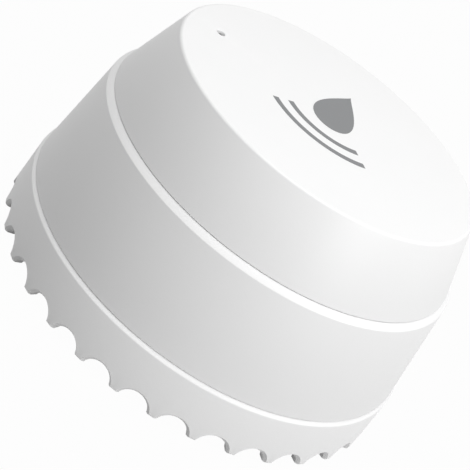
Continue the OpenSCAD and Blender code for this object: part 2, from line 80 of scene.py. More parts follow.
floor_grey, floor_white_share, room_share = 0.25, 0.975, 0.55
bpy.ops.object.select_all(action="DESELECT")
bpy.ops.mesh.primitive_plane_add(size=6)
floor = bpy.context.object
floor.name = "studio_floor"
floor_look = bpy.data.materials.new("studio_floor")
floor_look.use_nodes = True
nodes, links = floor_look.node_tree.nodes, floor_look.node_tree.links
floor_paint = nodes["Principled BSDF"]
floor_paint.inputs["Base Color"].default_value = (floor_grey, floor_grey, floor_grey, 1)
floor_paint.inputs["Roughness"].default_value = 0.9
floor_paint.inputs["Specular IOR Level"].default_value = 0.1
floor_white = nodes.new("ShaderNodeEmission")
floor_share = nodes.new("ShaderNodeMath")
floor_share.operation = "MULTIPLY"
floor_share.inputs[1].default_value = floor_white_share
floor_mix = nodes.new("ShaderNodeMixShader")
links.new(seen_directly(nodes, links), floor_share.inputs[0])
links.new(floor_share.outputs[0], floor_mix.inputs[0])
links.new(floor_paint.outputs[0], floor_mix.inputs[1])
links.new(floor_white.outputs[0], floor_mix.inputs[2])
links.new(floor_mix.outputs[0], nodes["Material Output"].inputs["Surface"])
floor.data.materials.append(floor_look)

studio = bpy.data.worlds.new("studio")
studio.use_nodes = True
bpy.context.scene.world = studio
nodes, links = studio.node_tree.nodes, studio.node_tree.links
room_light = nodes["Background"]
room_light.inputs["Color"].default_value = (1, 1, 1, 1)
room_strength = nodes.new("ShaderNodeMapRange")
room_strength.inputs["To Min"].default_value = room_share
room_strength.inputs["To Max"].default_value = 1.0
links.new(seen_directly(nodes, links), room_strength.inputs["Value"])
links.new(room_strength.outputs["Result"], room_light.inputs["Strength"])
puck_middle = (0, 0, 18 * MM)


def soft_lamp(name, place, size, watts):
    """Square lamp that faces the middle of the puck."""
    lamp_data = bpy.data.lights.new(name, "AREA")
    lamp_data.size = size
    lamp_data.energy = watts
    lamp = bpy.data.objects.new(name, lamp_data)
    bpy.context.scene.collection.objects.link(lamp)
    aim = Vector(place) - Vector(puck_middle)
    lamp.location = place
    lamp.rotation_euler = aim.to_track_quat("Z", "Y").to_euler()
    lamp.visible_camera = False


soft_lamp("low_lamp", (0.81, -0.526, 0.277), 0.5, 3.1)
soft_lamp("side_lamp", (0.754, -0.133, 0.661), 0.5, 1.6)
soft_lamp("near_lamp", (0.013, -0.149, 0.278), 0.2, 0.12)
soft_lamp("top_lamp", (0.05, 0, 0.95), 0.9, 3.3)


# Base: the white moulded cup that stands on the floor, with 32 arches round its foot.
# ABS from one tool; its neck carries the seal groove and three climbing channels for the housing's lugs.
def edit(piece):
    """Open one piece alone in edit mode with everything in it selected."""
    bpy.ops.object.select_all(action="DESELECT")
    piece.select_set(True)
    bpy.context.view_layer.objects.active = piece
    bpy.ops.object.mode_set(mode="EDIT")
    bpy.ops.mesh.select_all(action="SELECT")


def close(piece, smooth_below=35):
    """Merge doubles, turn the faces outwards, leave edit mode and smooth the shading."""
    bpy.ops.mesh.select_all(action="SELECT")
    bpy.ops.mesh.remove_doubles(threshold=WELD)
    bpy.ops.mesh.normals_make_consistent(inside=False)
    bpy.ops.object.mode_set(mode="OBJECT")
    bpy.ops.object.shade_smooth_by_angle(angle=math.radians(smooth_below))
    return piece


def start_point(name, at):
    """New piece with a single vertex, open in edit mode."""
    bpy.ops.object.select_all(action="DESELECT")
    bpy.ops.mesh.primitive_plane_add(size=MM)
    piece = bpy.context.object
    piece.name = name
    bpy.ops.object.mode_set(mode="EDIT")
    bpy.ops.mesh.merge(type="CENTER")
    bpy.ops.transform.translate(value=[v * MM for v in at])
    return piece


def draw_line(places):
    """Carry the selected vertex on along a list of places in millimetres, leaving edges behind it."""
    for a, b in zip(places, places[1:]):
        step = [(q - p) * MM for p, q in zip(a, b)]
        bpy.ops.mesh.extrude_vertices_move(TRANSFORM_OT_translate={"value": step})


def pick_points(piece, wanted):
    """Select the vertices whose place in millimetres is wanted."""
    bpy.ops.mesh.select_all(action="DESELECT")
    bpy.ops.mesh.select_mode(type="VERT")
    bpy.ops.object.mode_set(mode="OBJECT")
    for v in piece.data.vertices:
        v.select = wanted(*(v.co / MM))
    bpy.ops.object.mode_set(mode="EDIT")


def draw_section(name, section, soften):
    """Half section as a chain of edges in the XZ plane. A point's third number is its own corner rounding."""
    near = 1e-4
    piece = start_point(name, (section[0][0], 0, section[0][1]))
    draw_line([(p[0], 0, p[1]) for p in section])
    bpy.ops.mesh.select_all(action="SELECT")
    bpy.ops.mesh.remove_doubles(threshold=WELD)
    for corner in [p for p in section if len(p) == 3]:
        pick_points(piece, lambda x, y, z: math.hypot(x - corner[0], z - corner[1]) < near)
        bpy.ops.mesh.bevel(offset=corner[2] * MM, segments=6, affect="VERTICES")
    if soften:
        plain = [p for p in section if len(p) == 2 and p[0] > 0]
        pick_points(piece, lambda x, y, z: any(math.hypot(x - p[0], z - p[1]) < near for p in plain))
        bpy.ops.mesh.bevel(offset=soften * MM, segments=3, affect="VERTICES")
    bpy.ops.mesh.select_all(action="SELECT")
    return piece


def turned(name, section, soften=0.12, steps=192):
    """Piece turned about the upright axis from its half section."""
    piece = draw_section(name, section, soften)
    bpy.ops.mesh.spin(steps=steps, angle=2 * math.pi, center=(0, 0, 0), axis=(0, 0, 1))
    return close(piece)


def rod(name, r, low, high, steps):
    """Plain round bar on the upright axis, to weld on or to cut with."""
    return turned(name, [(0, low), (r, low), (r, high), (0, high)], 0, steps)


def swing(degrees):
    """Turn what is selected in edit mode about the upright axis."""
    bpy.ops.transform.rotate(value=math.radians(degrees), orient_axis="Z", center_override=(0, 0, 0))


def repeat_at(piece, spots):
    """Move a piece's mesh to the first spot and copy it to the others, all in one mesh."""
    edit(piece)
    last = (0, 0)
    for i, spot in enumerate(spots):
        step = ((spot[0] - last[0]) * MM, (spot[1] - last[1]) * MM, 0)
        if i == 0:
            bpy.ops.transform.translate(value=step)
        else:
            bpy.ops.mesh.duplicate_move(TRANSFORM_OT_translate={"value": step})
        last = spot
    bpy.ops.object.mode_set(mode="OBJECT")
    return piece


def repeat_round(piece, count):
    """Copy a piece's mesh evenly round the upright axis, all in one mesh."""
    edit(piece)
    bpy.ops.mesh.spin(steps=count - 1, dupli=True, angle=2 * math.pi * (count - 1) / count,
                      center=(0, 0, 0), axis=(0, 0, 1))
    bpy.ops.object.mode_set(mode="OBJECT")
    return piece


def combine(piece, tool, how):
    """Cut a tool's shape out of a piece or weld it on, and throw the tool away."""
    bpy.context.view_layer.objects.active = piece
    step = piece.modifiers.new("combine", "BOOLEAN")
    step.operation = how
    step.solver = "EXACT"
    step.object = tool
    bpy.ops.object.modifier_apply(modifier=step.name)
    bpy.data.objects.remove(tool)


def smooth(piece, smooth_below=35):
    """Clear slivers that cutting leaves, and smooth the shading except across the edges."""
    edit(piece)
    bpy.ops.mesh.remove_doubles(threshold=2 * SLIVER)
    bpy.ops.mesh.dissolve_degenerate(threshold=SLIVER)
    close(piece, smooth_below)


def surface_grain():
    """Shared finish: fine grain, which can be stretched into strokes, and slow changes of gloss and tone."""
    group = bpy.data.node_groups.new("surface_grain", "ShaderNodeTree")
    face = group.interface
    for socket, value in (
            ("Grain Size", 0.3), ("Tone Spread", 0.02), ("Gloss Spread", 0.06), ("Gloss", 0.45)):
        face.new_socket(name=socket, in_out="INPUT", socket_type="NodeSocketFloat").default_value = value
    face.new_socket(name="Stretch", in_out="INPUT", socket_type="NodeSocketVector").default_value = (1, 1, 1)
    face.new_socket(name="Colour", in_out="INPUT", socket_type="NodeSocketColor")
    face.new_socket(name="Colour", in_out="OUTPUT", socket_type="NodeSocketColor")
    face.new_socket(name="Roughness", in_out="OUTPUT", socket_type="NodeSocketFloat")
    face.new_socket(name="Height", in_out="OUTPUT", socket_type="NodeSocketFloat")
    nodes, links = group.nodes, group.links
    given = nodes.new("NodeGroupInput")
    result = nodes.new("NodeGroupOutput")
    place = nodes.new("ShaderNodeTexCoord")
    per_metre = nodes.new("ShaderNodeMath")
    per_metre.operation = "DIVIDE"
    per_metre.inputs[0].default_value = 1000
    links.new(given.outputs["Grain Size"], per_metre.inputs[1])
    stretched = nodes.new("ShaderNodeVectorMath")
    stretched.operation = "MULTIPLY"
    links.new(place.outputs["Object"], stretched.inputs[0])
    links.new(given.outputs["Stretch"], stretched.inputs[1])
    grain = nodes.new("ShaderNodeTexNoise")
    grain.inputs["Detail"].default_value = 3
    links.new(stretched.outputs[0], grain.inputs["Vector"])
    links.new(per_metre.outputs[0], grain.inputs["Scale"])
    links.new(grain.outputs["Fac"], result.inputs["Height"])
    cloud = nodes.new("ShaderNodeTexNoise")
    cloud.inputs["Scale"].default_value = 90
    cloud.inputs["Detail"].default_value = 4
    links.new(place.outputs["Object"], cloud.inputs["Vector"])
    both = nodes.new("ShaderNodeMath")
    both.operation = "MULTIPLY_ADD"
    both.inputs[1].default_value = 0.35
    links.new(grain.outputs["Fac"], both.inputs[0])
    links.new(cloud.outputs["Fac"], both.inputs[2])
    centred = nodes.new("ShaderNodeMath")
    centred.operation = "SUBTRACT"
    centred.inputs[1].default_value = 0.675
    links.new(both.outputs[0], centred.inputs[0])
    gloss = nodes.new("ShaderNodeMath")
    gloss.operation = "MULTIPLY_ADD"
    links.new(centred.outputs[0], gloss.inputs[0])
    links.new(given.outputs["Gloss Spread"], gloss.inputs[1])
    links.new(given.outputs["Gloss"], gloss.inputs[2])
    links.new(gloss.outputs[0], result.inputs["Roughness"])
    tone = nodes.new("ShaderNodeMath")
    tone.operation = "MULTIPLY_ADD"
    tone.inputs[2].default_value = 1
    links.new(centred.outputs[0], tone.inputs[0])
    links.new(given.outputs["Tone Spread"], tone.inputs[1])
    shade = nodes.new("ShaderNodeVectorMath")
    shade.operation = "SCALE"
    links.new(given.outputs["Colour"], shade.inputs[0])
    links.new(tone.outputs[0], shade.inputs["Scale"])
    links.new(shade.outputs[0], result.inputs["Colour"])
    return group


def surface(name, colour, gloss, grain_size, grain_depth, tone_spread=0.02, gloss_spread=0.06,
            stretch=(1, 1, 1), metallic=0.0):
    """Look with the shared grain over one colour. The grain's size and depth are in millimetres."""
    look = bpy.data.materials.new(name)
    look.use_nodes = True
    nodes, links = look.node_tree.nodes, look.node_tree.links
    finish = nodes.new("ShaderNodeGroup")
    finish.name = "finish"
    finish.node_tree = bpy.data.node_groups.get("surface_grain") or surface_grain()
    finish.inputs["Colour"].default_value = (*colour, 1)
    finish.inputs["Gloss"].default_value = gloss
    finish.inputs["Gloss Spread"].default_value = gloss_spread
    finish.inputs["Grain Size"].default_value = grain_size
    finish.inputs["Tone Spread"].default_value = tone_spread
    finish.inputs["Stretch"].default_value = stretch
    bump = nodes.new("ShaderNodeBump")
    bump.inputs["Strength"].default_value = 0.35
    bump.inputs["Distance"].default_value = grain_depth * MM
    skin = nodes["Principled BSDF"]
    skin.inputs["Metallic"].default_value = metallic
    links.new(finish.outputs["Colour"], skin.inputs["Base Color"])
    links.new(finish.outputs["Roughness"], skin.inputs["Roughness"])
    links.new(finish.outputs["Height"], bump.inputs["Height"])
    links.new(bump.outputs["Normal"], skin.inputs["Normal"])
    return look


def place_on(body, piece, look, *solids):
    """Give a finished piece its look and its body, in place of the solids that it stands for."""
    piece.data.materials.append(look)
    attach(piece, body)
    if solids:
        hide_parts(*solids)


white_case = surface("white_case", (0.83, 0.83, 0.83), 0.42, 0.35, 0.02)

base_r, seam_z = 31.997, 7.9
neck_r, neck_in_r, neck_top = 28.447, 25.647, 13.2
floor_low, floor_top = 2.4, 4.2
board_low, board_top = 5.6, 7.2
post_r, boss_r, shank_hole_r = 2.5, 3.2, 1.65
post_spots = [(x, y) for x in (-15.15, 15.15) for y in (-14.5, 14.5)]
probe_spots = [(9.5, 9.5), (-9.5, -9.5)]
base = turned("base_moulding", [
    (0, floor_low), (30.306, floor_low), (30.397, 0), (31.797, 0), (base_r, 0.2), (31.893, 2.75),
    (31.697, seam_z), (31.147, 8.4), (30.097, 8.4), (30.237, floor_top), (neck_r, floor_top), (neck_r, 8.1),
    (27.097, 8.1), (27.097, 9.8), (neck_r, 9.8), (neck_r, neck_top), (neck_in_r, neck_top),
    (neck_in_r, floor_top), (0, floor_top)], soften=0.1, steps=256)

combine(base, repeat_at(rod("posts", post_r, 3.9, board_low, 40), post_spots), "UNION")
combine(base, repeat_at(rod("bosses", boss_r, 3.9, board_low, 40), probe_spots), "UNION")

# The arch cutter is a round bar lying outwards, whose outer end flares to bevel the arch's edge.
arch_count, arch_r, arch_z, arch_from = 32, 2.31, -0.56, 29.3
flares = ((31.34, 0), (31.4, 0.02), (31.46, 0.07), (31.91, 0.52), (31.97, 0.6), (32.02, 0.7),
          (32.2, 1.1))
bpy.ops.object.select_all(action="DESELECT")
bpy.ops.mesh.primitive_circle_add(vertices=56, radius=arch_r * MM, fill_type="NGON",
                                  location=(arch_from * MM, 0, arch_z * MM), rotation=(0, math.pi / 2, 0))
arches = bpy.context.object
bpy.ops.object.transform_apply()
edit(arches)
reach, wide = arch_from, arch_r
for out, flare in flares:
    bpy.ops.mesh.extrude_region_move(TRANSFORM_OT_translate={"value": ((out - reach) * MM, 0, 0)})
    bpy.ops.transform.resize(value=[(arch_r + flare) / wide] * 3, center_override=(out * MM, 0, arch_z * MM))
    reach, wide = out, arch_r + flare
close(arches)
edit(arches)
swing(360 / (2 * arch_count))
bpy.ops.object.mode_set(mode="OBJECT")
combine(base, repeat_round(arches, arch_count), "DIFFERENCE")

# The channel cutter is a flat sector that climbs round the neck and leaves at its top.
lug_count, lug_span, lead = 3, 8, 36
channel_in, channel_out, channel_low, channel_high = 27.147, 28.747, 10.3, 13.5
channel_span, climb_steps = 27, 12
channels = start_point("channels", (channel_in, 0, channel_low))
draw_line([(channel_in, 0, channel_low), (channel_out, 0, channel_low)])
bpy.ops.mesh.select_all(action="SELECT")
bpy.ops.mesh.spin(steps=8, angle=math.radians(channel_span), center=(0, 0, 0), axis=(0, 0, 1))
bpy.ops.mesh.select_all(action="SELECT")
rise = (channel_high - channel_low) / climb_steps
for i in range(climb_steps):
    bpy.ops.mesh.extrude_region_move(TRANSFORM_OT_translate={"value": (0, 0, rise * MM)})
    swing(-360 * rise / lead)
close(channels)
edit(channels)
swing(-lug_span)
bpy.ops.object.mode_set(mode="OBJECT")
combine(base, repeat_round(channels, lug_count), "DIFFERENCE")

pilot_holes = turned("pilot_holes", [(0, 3.3), (1.01, 3.3), (1.01, 5.4), (1.35, 5.8), (0, 5.8)], 0, 32)
combine(base, repeat_at(pilot_holes, post_spots), "DIFFERENCE")
combine(base, repeat_at(rod("probe_holes", shank_hole_r, 1.0, 7.0, 32), probe_spots), "DIFFERENCE")

# Shallow rounds under the floor are left by the tool's ejector pins.
pin_marks = repeat_at(rod("pin_marks", 2.2, 2.0, 2.48, 40), [
    (20, 0), (-20, 0), (0, 20), (0, -20), (14, -14), (-14, 14)])
combine(base, pin_marks, "DIFFERENCE")
smooth(base)
place_on("base", base, white_case, "base_cup")


# Electrodes: two screws whose flat heads reach down to the wet floor, each on a soft washer.
# Turned brass with a thin gold flash; the cross in the head takes a driver, the thread above takes a nut.
def block(name, low, high, soften=0.1):
    """Box between two corners with its edges eased."""
    bpy.ops.object.select_all(action="DESELECT")
    bpy.ops.mesh.primitive_cube_add(size=MM)
    piece = bpy.context.object
    piece.name = name
    bpy.ops.object.mode_set(mode="EDIT")
    bpy.ops.transform.resize(value=[b - a for a, b in zip(low, high)], center_override=(0, 0, 0))
    bpy.ops.transform.translate(value=[(a + b) / 2 * MM for a, b in zip(low, high)])
    if soften:
        bpy.ops.mesh.bevel(offset=soften * MM, segments=2, affect="EDGES")
    return close(piece)


def driver_cross(reach, width, low, high):
    """Cutter for a cross recess, standing on the upright axis."""
    cross = block("cross", (-reach, -width / 2, low), (reach, width / 2, high), 0)
    combine(cross, block("arm", (-width / 2, -reach, low), (width / 2, reach, high), 0), "UNION")
    return cross


def thread(r, depth, pitch, low, high):
    """Section points of a rolled thread between two heights."""
    root, crest = 0.3, 0.8
    turns = round((high - low) / pitch)
    return [p for i in range(turns)
            for p in ((r - depth, low + (i + root) * pitch), (r, low + (i + crest) * pitch))]


gold_flash = surface("gold_flash", (0.80, 0.58, 0.25), 0.24, 0.12, 0.004, 0.16, 0.22, metallic=1.0)
electrodes = turned("electrodes", [(0, 0.6), (2.7, 0.6), (3.2, 1.1), (3.2, 1.9), (1.5, 1.9), (1.5, board_low)]
                    + thread(1.5, 0.16, 0.5, board_low, 9.4) + [(1.3, 9.7), (0, 9.7)], soften=0.05, steps=72)
combine(electrodes, driver_cross(1.75, 0.7, 0.3, 1.25), "DIFFERENCE")
smooth(electrodes)
place_on("base", repeat_at(electrodes, probe_spots), gold_flash, "probe_pins")

seal_rubber = surface("seal_rubber", (0.075, 0.075, 0.08), 0.62, 0.25, 0.015, 0.25, 0.12)
washers = turned("electrode_washers", [
    (1.56, 1.9), (2.66, 1.9), (2.84, 2.02), (2.9, 2.15), (2.84, 2.28), (2.66, 2.4), (1.56, 2.4), (1.56, 1.9)],
    soften=0.03, steps=72)
place_on("base", repeat_at(washers, probe_spots), seal_rubber, "probe_gaskets")


# Circuit board: the round board on the base's six bosses, with plated rings round its holes.
# Glass cloth in epoxy under green solder mask; tracks show through the mask as a paler green.
def math_node(nodes, links, how, *values):
    """One maths step on numbers or sockets, and its result."""
    step = nodes.new("ShaderNodeMath")
    step.operation = how
    for i, value in enumerate(values):
        if isinstance(value, (int, float)):
            step.inputs[i].default_value = value
        else:
            links.new(value, step.inputs[i])
    return step.outputs[0]


def mixed(nodes, links, share, first, second):
    """One colour where the share is 0, the other where it is 1."""
    mix = nodes.new("ShaderNodeMix")
    mix.data_type = "RGBA"
    links.new(share, mix.inputs[0])
    mix.inputs[6].default_value = (*first, 1)
    mix.inputs[7].default_value = (*second, 1)
    return mix.outputs[2]


def track_mask():
    """Mask of board tracks: square cells, each with a straight run one way or the other, and some vias."""
    track_half, via_r = 0.14, 0.3
    level_under, upright_over, via_over = 0.45, 0.55, 0.8
    group = bpy.data.node_groups.new("track_mask", "ShaderNodeTree")
    group.interface.new_socket(name="Cell", in_out="INPUT", socket_type="NodeSocketFloat").default_value = 1.3
    group.interface.new_socket(name="Tracks", in_out="OUTPUT", socket_type="NodeSocketFloat")
    nodes, links = group.nodes, group.links
    given = nodes.new("NodeGroupInput")
    result = nodes.new("NodeGroupOutput")
    place = nodes.new("ShaderNodeTexCoord")
    per_metre = math_node(nodes, links, "DIVIDE", 1000, given.outputs["Cell"])
    grid = nodes.new("ShaderNodeVectorMath")
    grid.operation = "SCALE"
    links.new(place.outputs["Object"], grid.inputs[0])
    links.new(per_metre, grid.inputs["Scale"])
    across = nodes.new("ShaderNodeSeparateXYZ")
    links.new(grid.outputs[0], across.inputs[0])
    column = math_node(nodes, links, "FLOOR", across.outputs["X"])
    row = math_node(nodes, links, "FLOOR", across.outputs["Y"])
    cell = nodes.new("ShaderNodeCombineXYZ")
    links.new(column, cell.inputs["X"])
    links.new(row, cell.inputs["Y"])
    chance = nodes.new("ShaderNodeTexWhiteNoise")
    chance.noise_dimensions = "2D"
    links.new(cell.outputs[0], chance.inputs["Vector"])
    off_x = math_node(nodes, links, "ABSOLUTE", math_node(nodes, links, "SUBTRACT", math_node(
        nodes, links, "SUBTRACT", across.outputs["X"], column), 0.5))
    off_y = math_node(nodes, links, "ABSOLUTE", math_node(nodes, links, "SUBTRACT", math_node(
        nodes, links, "SUBTRACT", across.outputs["Y"], row), 0.5))
    along_y = math_node(nodes, links, "LESS_THAN", off_x, track_half)
    along_x = math_node(nodes, links, "LESS_THAN", off_y, track_half)
    upright = math_node(nodes, links, "GREATER_THAN", chance.outputs["Value"], upright_over)
    level = math_node(nodes, links, "LESS_THAN", chance.outputs["Value"], level_under)
    runs = math_node(nodes, links, "MAXIMUM", math_node(nodes, links, "MULTIPLY", along_y, upright),
                     math_node(nodes, links, "MULTIPLY", along_x, level))
    from_middle = math_node(nodes, links, "SQRT", math_node(nodes, links, "ADD", math_node(
        nodes, links, "MULTIPLY", off_x, off_x), math_node(nodes, links, "MULTIPLY", off_y, off_y)))
    via = math_node(nodes, links, "MULTIPLY", math_node(nodes, links, "LESS_THAN", from_middle, via_r),
                    math_node(nodes, links, "GREATER_THAN", chance.outputs["Value"], via_over))
    links.new(math_node(nodes, links, "MAXIMUM", runs, via), result.inputs["Tracks"])
    return group


def solder_mask(name, colour, track_colour, cell):
    """Glossy board lacquer with tracks under it."""
    look = surface(name, colour, 0.3, 0.2, 0.006, 0.12, 0.12)
    nodes, links = look.node_tree.nodes, look.node_tree.links
    tracks = nodes.new("ShaderNodeGroup")
    tracks.node_tree = bpy.data.node_groups.get("track_mask") or track_mask()
    tracks.inputs["Cell"].default_value = cell
    painted = mixed(nodes, links, tracks.outputs["Tracks"], colour, track_colour)
    links.new(painted, nodes["finish"].inputs["Colour"])
    return look


def flat_ring(name, inner, outer, low, high, soften, steps=192):
    """Ring with a plain four-sided section."""
    section = [(inner, low), (outer, low), (outer, high), (inner, high), (inner, low)]
    return turned(name, section, soften, steps)


board_green = solder_mask("board_green", (0.010, 0.105, 0.045), (0.03, 0.19, 0.085), 1.3)
board_r, screw_hole_r = 25.047, 1.1
board = turned("round_board", [
    (0, board_low), (board_r, board_low), (board_r, board_top), (0, board_top)], soften=0.1, steps=160)
combine(board, repeat_at(rod("screw_holes", screw_hole_r, 5, 8, 32), post_spots), "DIFFERENCE")
combine(board, repeat_at(rod("shank_holes", shank_hole_r, 5, 8, 32), probe_spots), "DIFFERENCE")
smooth(board)
place_on("base", board, board_green, "circuit_board")

tinned = surface("tinned", (0.70, 0.70, 0.69), 0.34, 0.2, 0.01, 0.14, 0.2, metallic=1.0)
plate_low, plate_high = 7.18, 7.23
probe_rings = flat_ring("probe_rings", 1.7, 3.7, plate_low, plate_high, 0.01, 48)
place_on("base", repeat_at(probe_rings, probe_spots), gold_flash)
screw_rings = flat_ring("screw_rings", 1.15, 2.9, plate_low, plate_high, 0.01, 48)
place_on("base", repeat_at(screw_rings, post_spots), tinned)


# Nuts: two plated hexagon nuts that pull the electrodes up against their washers and join them to the board.
# Cold-formed steel, bright nickel plate; both faces are turned down at the corners.
bright_nickel = surface("bright_nickel", (0.72, 0.71, 0.68), 0.22, 0.1, 0.004, 0.12, 0.2, metallic=1.0)
bpy.ops.object.select_all(action="DESELECT")
bpy.ops.mesh.primitive_cylinder_add(vertices=6, radius=3.175 * MM, depth=2 * MM, location=(0, 0, 8.2 * MM),
                                    rotation=(0, 0, math.pi / 6))
nuts = bpy.context.object
nuts.name = "electrode_nuts"
bpy.ops.object.transform_apply()
corners = turned("corners", [(0, 7.0), (2.5, 7.1), (3.4, 7.6), (3.4, 8.8), (2.5, 9.3), (0, 9.4)], 0, 64)
combine(nuts, corners, "INTERSECT")
bore = turned("bore", [(0, 7.0), (1.9, 7.0), (1.56, 7.45)] + thread(1.62, 0.06, 0.5, 7.5, 9.0)
              + [(1.9, 9.4), (0, 9.4)], 0, 48)
combine(nuts, bore, "DIFFERENCE")
smooth(nuts, 25)
place_on("base", repeat_at(nuts, probe_spots), bright_nickel, "probe_nuts")


# Radio module: a small blue-green board soldered flat on the main one, with a can and a bare aerial end.
# The can is drawn tinned steel with vent holes; the aerial is a folded copper track under the mask.
radio_mask = solder_mask("radio_mask", (0.006, 0.05, 0.085), (0.02, 0.10, 0.15), 0.9)
radio_board = block("radio_board_piece", (-5.5, -21, board_top), (10.5, 3, 8.0), 0.05)
edge_spots = [(x, -13.5 + 1.27 * i) for x in (-5.5, 10.5) for i in range(12)]
combine(radio_board, repeat_at(rod("half_holes", 0.32, 7, 8.4, 16), edge_spots), "DIFFERENCE")
smooth(radio_board)
place_on("base", radio_board, radio_mask, "radio_board")

edge_pads = repeat_at(flat_ring("radio_edge_pads", 0.3, 0.48, 7.22, 8.03, 0.01, 16), edge_spots)
trim = block("trim", (-5.45, -22, 6), (10.45, 4, 9), 0)
combine(edge_pads, trim, "INTERSECT")
place_on("base", edge_pads, gold_flash)


def flat_shape(name, outline, low, high):
    """Flat piece between two heights from its outline in millimetres."""
    piece = start_point(name, (*outline[0], low))
    draw_line([(x, y, low) for x, y in [*outline, outline[0]]])
    bpy.ops.mesh.select_all(action="SELECT")
    bpy.ops.mesh.remove_doubles(threshold=WELD)
    bpy.ops.mesh.edge_face_add()
    bpy.ops.mesh.extrude_region_move(TRANSFORM_OT_translate={"value": (0, 0, (high - low) * MM)})
    return close(piece)


def track_outline(path, half):
    """Outline of a flat track whose runs meet at right angles along a path."""
    left, right = [], []
    for i, (x, y) in enumerate(path):
        off_x = off_y = 0
        for a, b in ((i - 1, i), (i, i + 1)):
            if a >= 0 and b < len(path):
                run = math.dist(path[a], path[b])
                off_x -= (path[b][1] - path[a][1]) / run * half
                off_y += (path[b][0] - path[a][0]) / run * half
        left.append((x + off_x, y + off_y))
        right.append((x - off_x, y - off_y))
    return left + right[::-1]


fold_from, fold_step, fold_near, fold_far = -3.5, 1.7, -15.6, -20.2
folds = []
for i in range(8):
    run_ends = (fold_near, fold_far) if i % 2 else (fold_far, fold_near)
    folds += [(fold_from + fold_step * i, y) for y in run_ends]
aerial = flat_shape("aerial_track", track_outline(folds, 0.25), 7.98, 8.03)
place_on("base", aerial, gold_flash)

shield = block("shield_can", (-4.5, -14, 8.0), (9.5, 2, 10.2), 0.35)
vents = repeat_at(rod("vents", 0.45, 9.9, 10.4, 20), [
    (-2.5 + 2.5 * i, -12 + 3 * j) for i in range(5) for j in range(5)])
combine(shield, vents, "DIFFERENCE")
smooth(shield)
place_on("base", shield, tinned, "radio_shield")


# Control chip: a flat square package with soldered lands along its four sides.
# Black moulded epoxy with a fine matt skin; a round dimple marks its first land.
chip_epoxy = surface("chip_epoxy", (0.022, 0.022, 0.024), 0.5, 0.12, 0.01, 0.2, 0.12)
chip = block("control_chip_body", (-11.5, 0.5, 7.24), (-6.5, 5.5, 8.2), 0.06)
dimple = repeat_at(turned("dimple", [(0, 8.12), (0.32, 8.12), (0.42, 8.3), (0, 8.3)], 0, 24), [(-10.7, 4.7)])
combine(chip, dimple, "DIFFERENCE")
place_on("base", chip, chip_epoxy, "control_chip")
land_pitch, land_top = 0.5, 7.42
lands = repeat_at(block("chip_lands", (-0.14, -0.3, board_top), (0.14, 0.3, land_top), 0.03), [
    (-10.75 + land_pitch * i, y) for y in (0.6, 5.4) for i in range(8)])
side_lands = repeat_at(block("side_lands", (-0.3, -0.14, board_top), (0.3, 0.14, land_top), 0.03), [
    (x, 1.25 + land_pitch * i) for x in (-11.4, -6.6) for i in range(8)])
combine(lands, side_lands, "UNION")
place_on("base", lands, tinned)


# Small soldered parts: chip resistors and capacitors in the open parts of the board.
# Fired ceramic bodies with tinned ends, all of one size, laid by machine.
small_spots = [(16.2, 8.6), (18.6, 8.2), (21.2, 7.4), (16.4, -8.4), (18.8, -8.4), (21.2, -7.6), (-14.6, -5.6),
               (-14.6, -7.4), (-17.4, -7.6), (-19.8, -7.0), (-14.4, 2.6), (-14.4, 0.6)]
fired_clay = surface("fired_clay", (0.22, 0.16, 0.11), 0.45, 0.15, 0.01, 0.3, 0.15)
bodies = repeat_at(block("small_part_bodies", (-0.75, -0.4, board_top), (0.75, 0.4, 7.72), 0.05), small_spots)
place_on("base", bodies, fired_clay)
ends = repeat_at(block("small_part_ends", (-1.05, -0.45, board_top), (-0.5, 0.45, 7.76), 0.1), small_spots)
other_ends = repeat_at(block("other_ends", (0.5, -0.45, board_top), (1.05, 0.45, 7.76), 0.1), small_spots)
combine(ends, other_ends, "UNION")
place_on("base", ends, tinned)


# Storage capacitor: an upright can that feeds the radio's short bursts.
# Drawn aluminium, crimped over its black foot, with score lines in the top and a dark mark on one side.
capacitor_spot = (-1.5, 12)
can_colour, mark_colour = (0.74, 0.74, 0.75), (0.03, 0.03, 0.035)
can_skin = surface("can_skin", can_colour, 0.3, 0.5, 0.006, 0.1, 0.16, (1, 1, 0.08), 1.0)
nodes, links = can_skin.node_tree.nodes, can_skin.node_tree.links
can_place = nodes.new("ShaderNodeTexCoord")
can_across = nodes.new("ShaderNodeSeparateXYZ")
links.new(can_place.outputs["Object"], can_across.inputs[0])
on_top = math_node(nodes, links, "GREATER_THAN", can_across.outputs["Z"], 12.45 * MM)
one_side = math_node(nodes, links, "LESS_THAN", can_across.outputs["X"], -2.9 * MM)
dark_mark = math_node(nodes, links, "MULTIPLY", on_top, one_side)
links.new(mixed(nodes, links, dark_mark, can_colour, mark_colour), nodes["finish"].inputs["Colour"])
capacitor = turned("capacitor_can", [
    (0, 7.7), (3.05, 7.7), (3.15, 7.85), (3.15, 8.25), (2.92, 8.45), (2.92, 8.6), (3.15, 8.8), (3.15, 12.25),
    (2.85, 12.6), (2.3, 12.6), (2.2, 12.5), (0, 12.5)], soften=0.06, steps=72)
combine(capacitor, driver_cross(1.6, 0.16, 12.4, 12.8), "DIFFERENCE")
smooth(capacitor)
place_on("base", repeat_at(capacitor, [capacitor_spot]), can_skin, "storage_capacitor")
capacitor_foot = turned("capacitor_foot", [
    (0, board_top), (3.15, board_top), (3.15, 7.6), (3.0, 7.75), (0, 7.75)], 0.05, 72)
place_on("base", repeat_at(capacitor_foot, [capacitor_spot]), chip_epoxy)


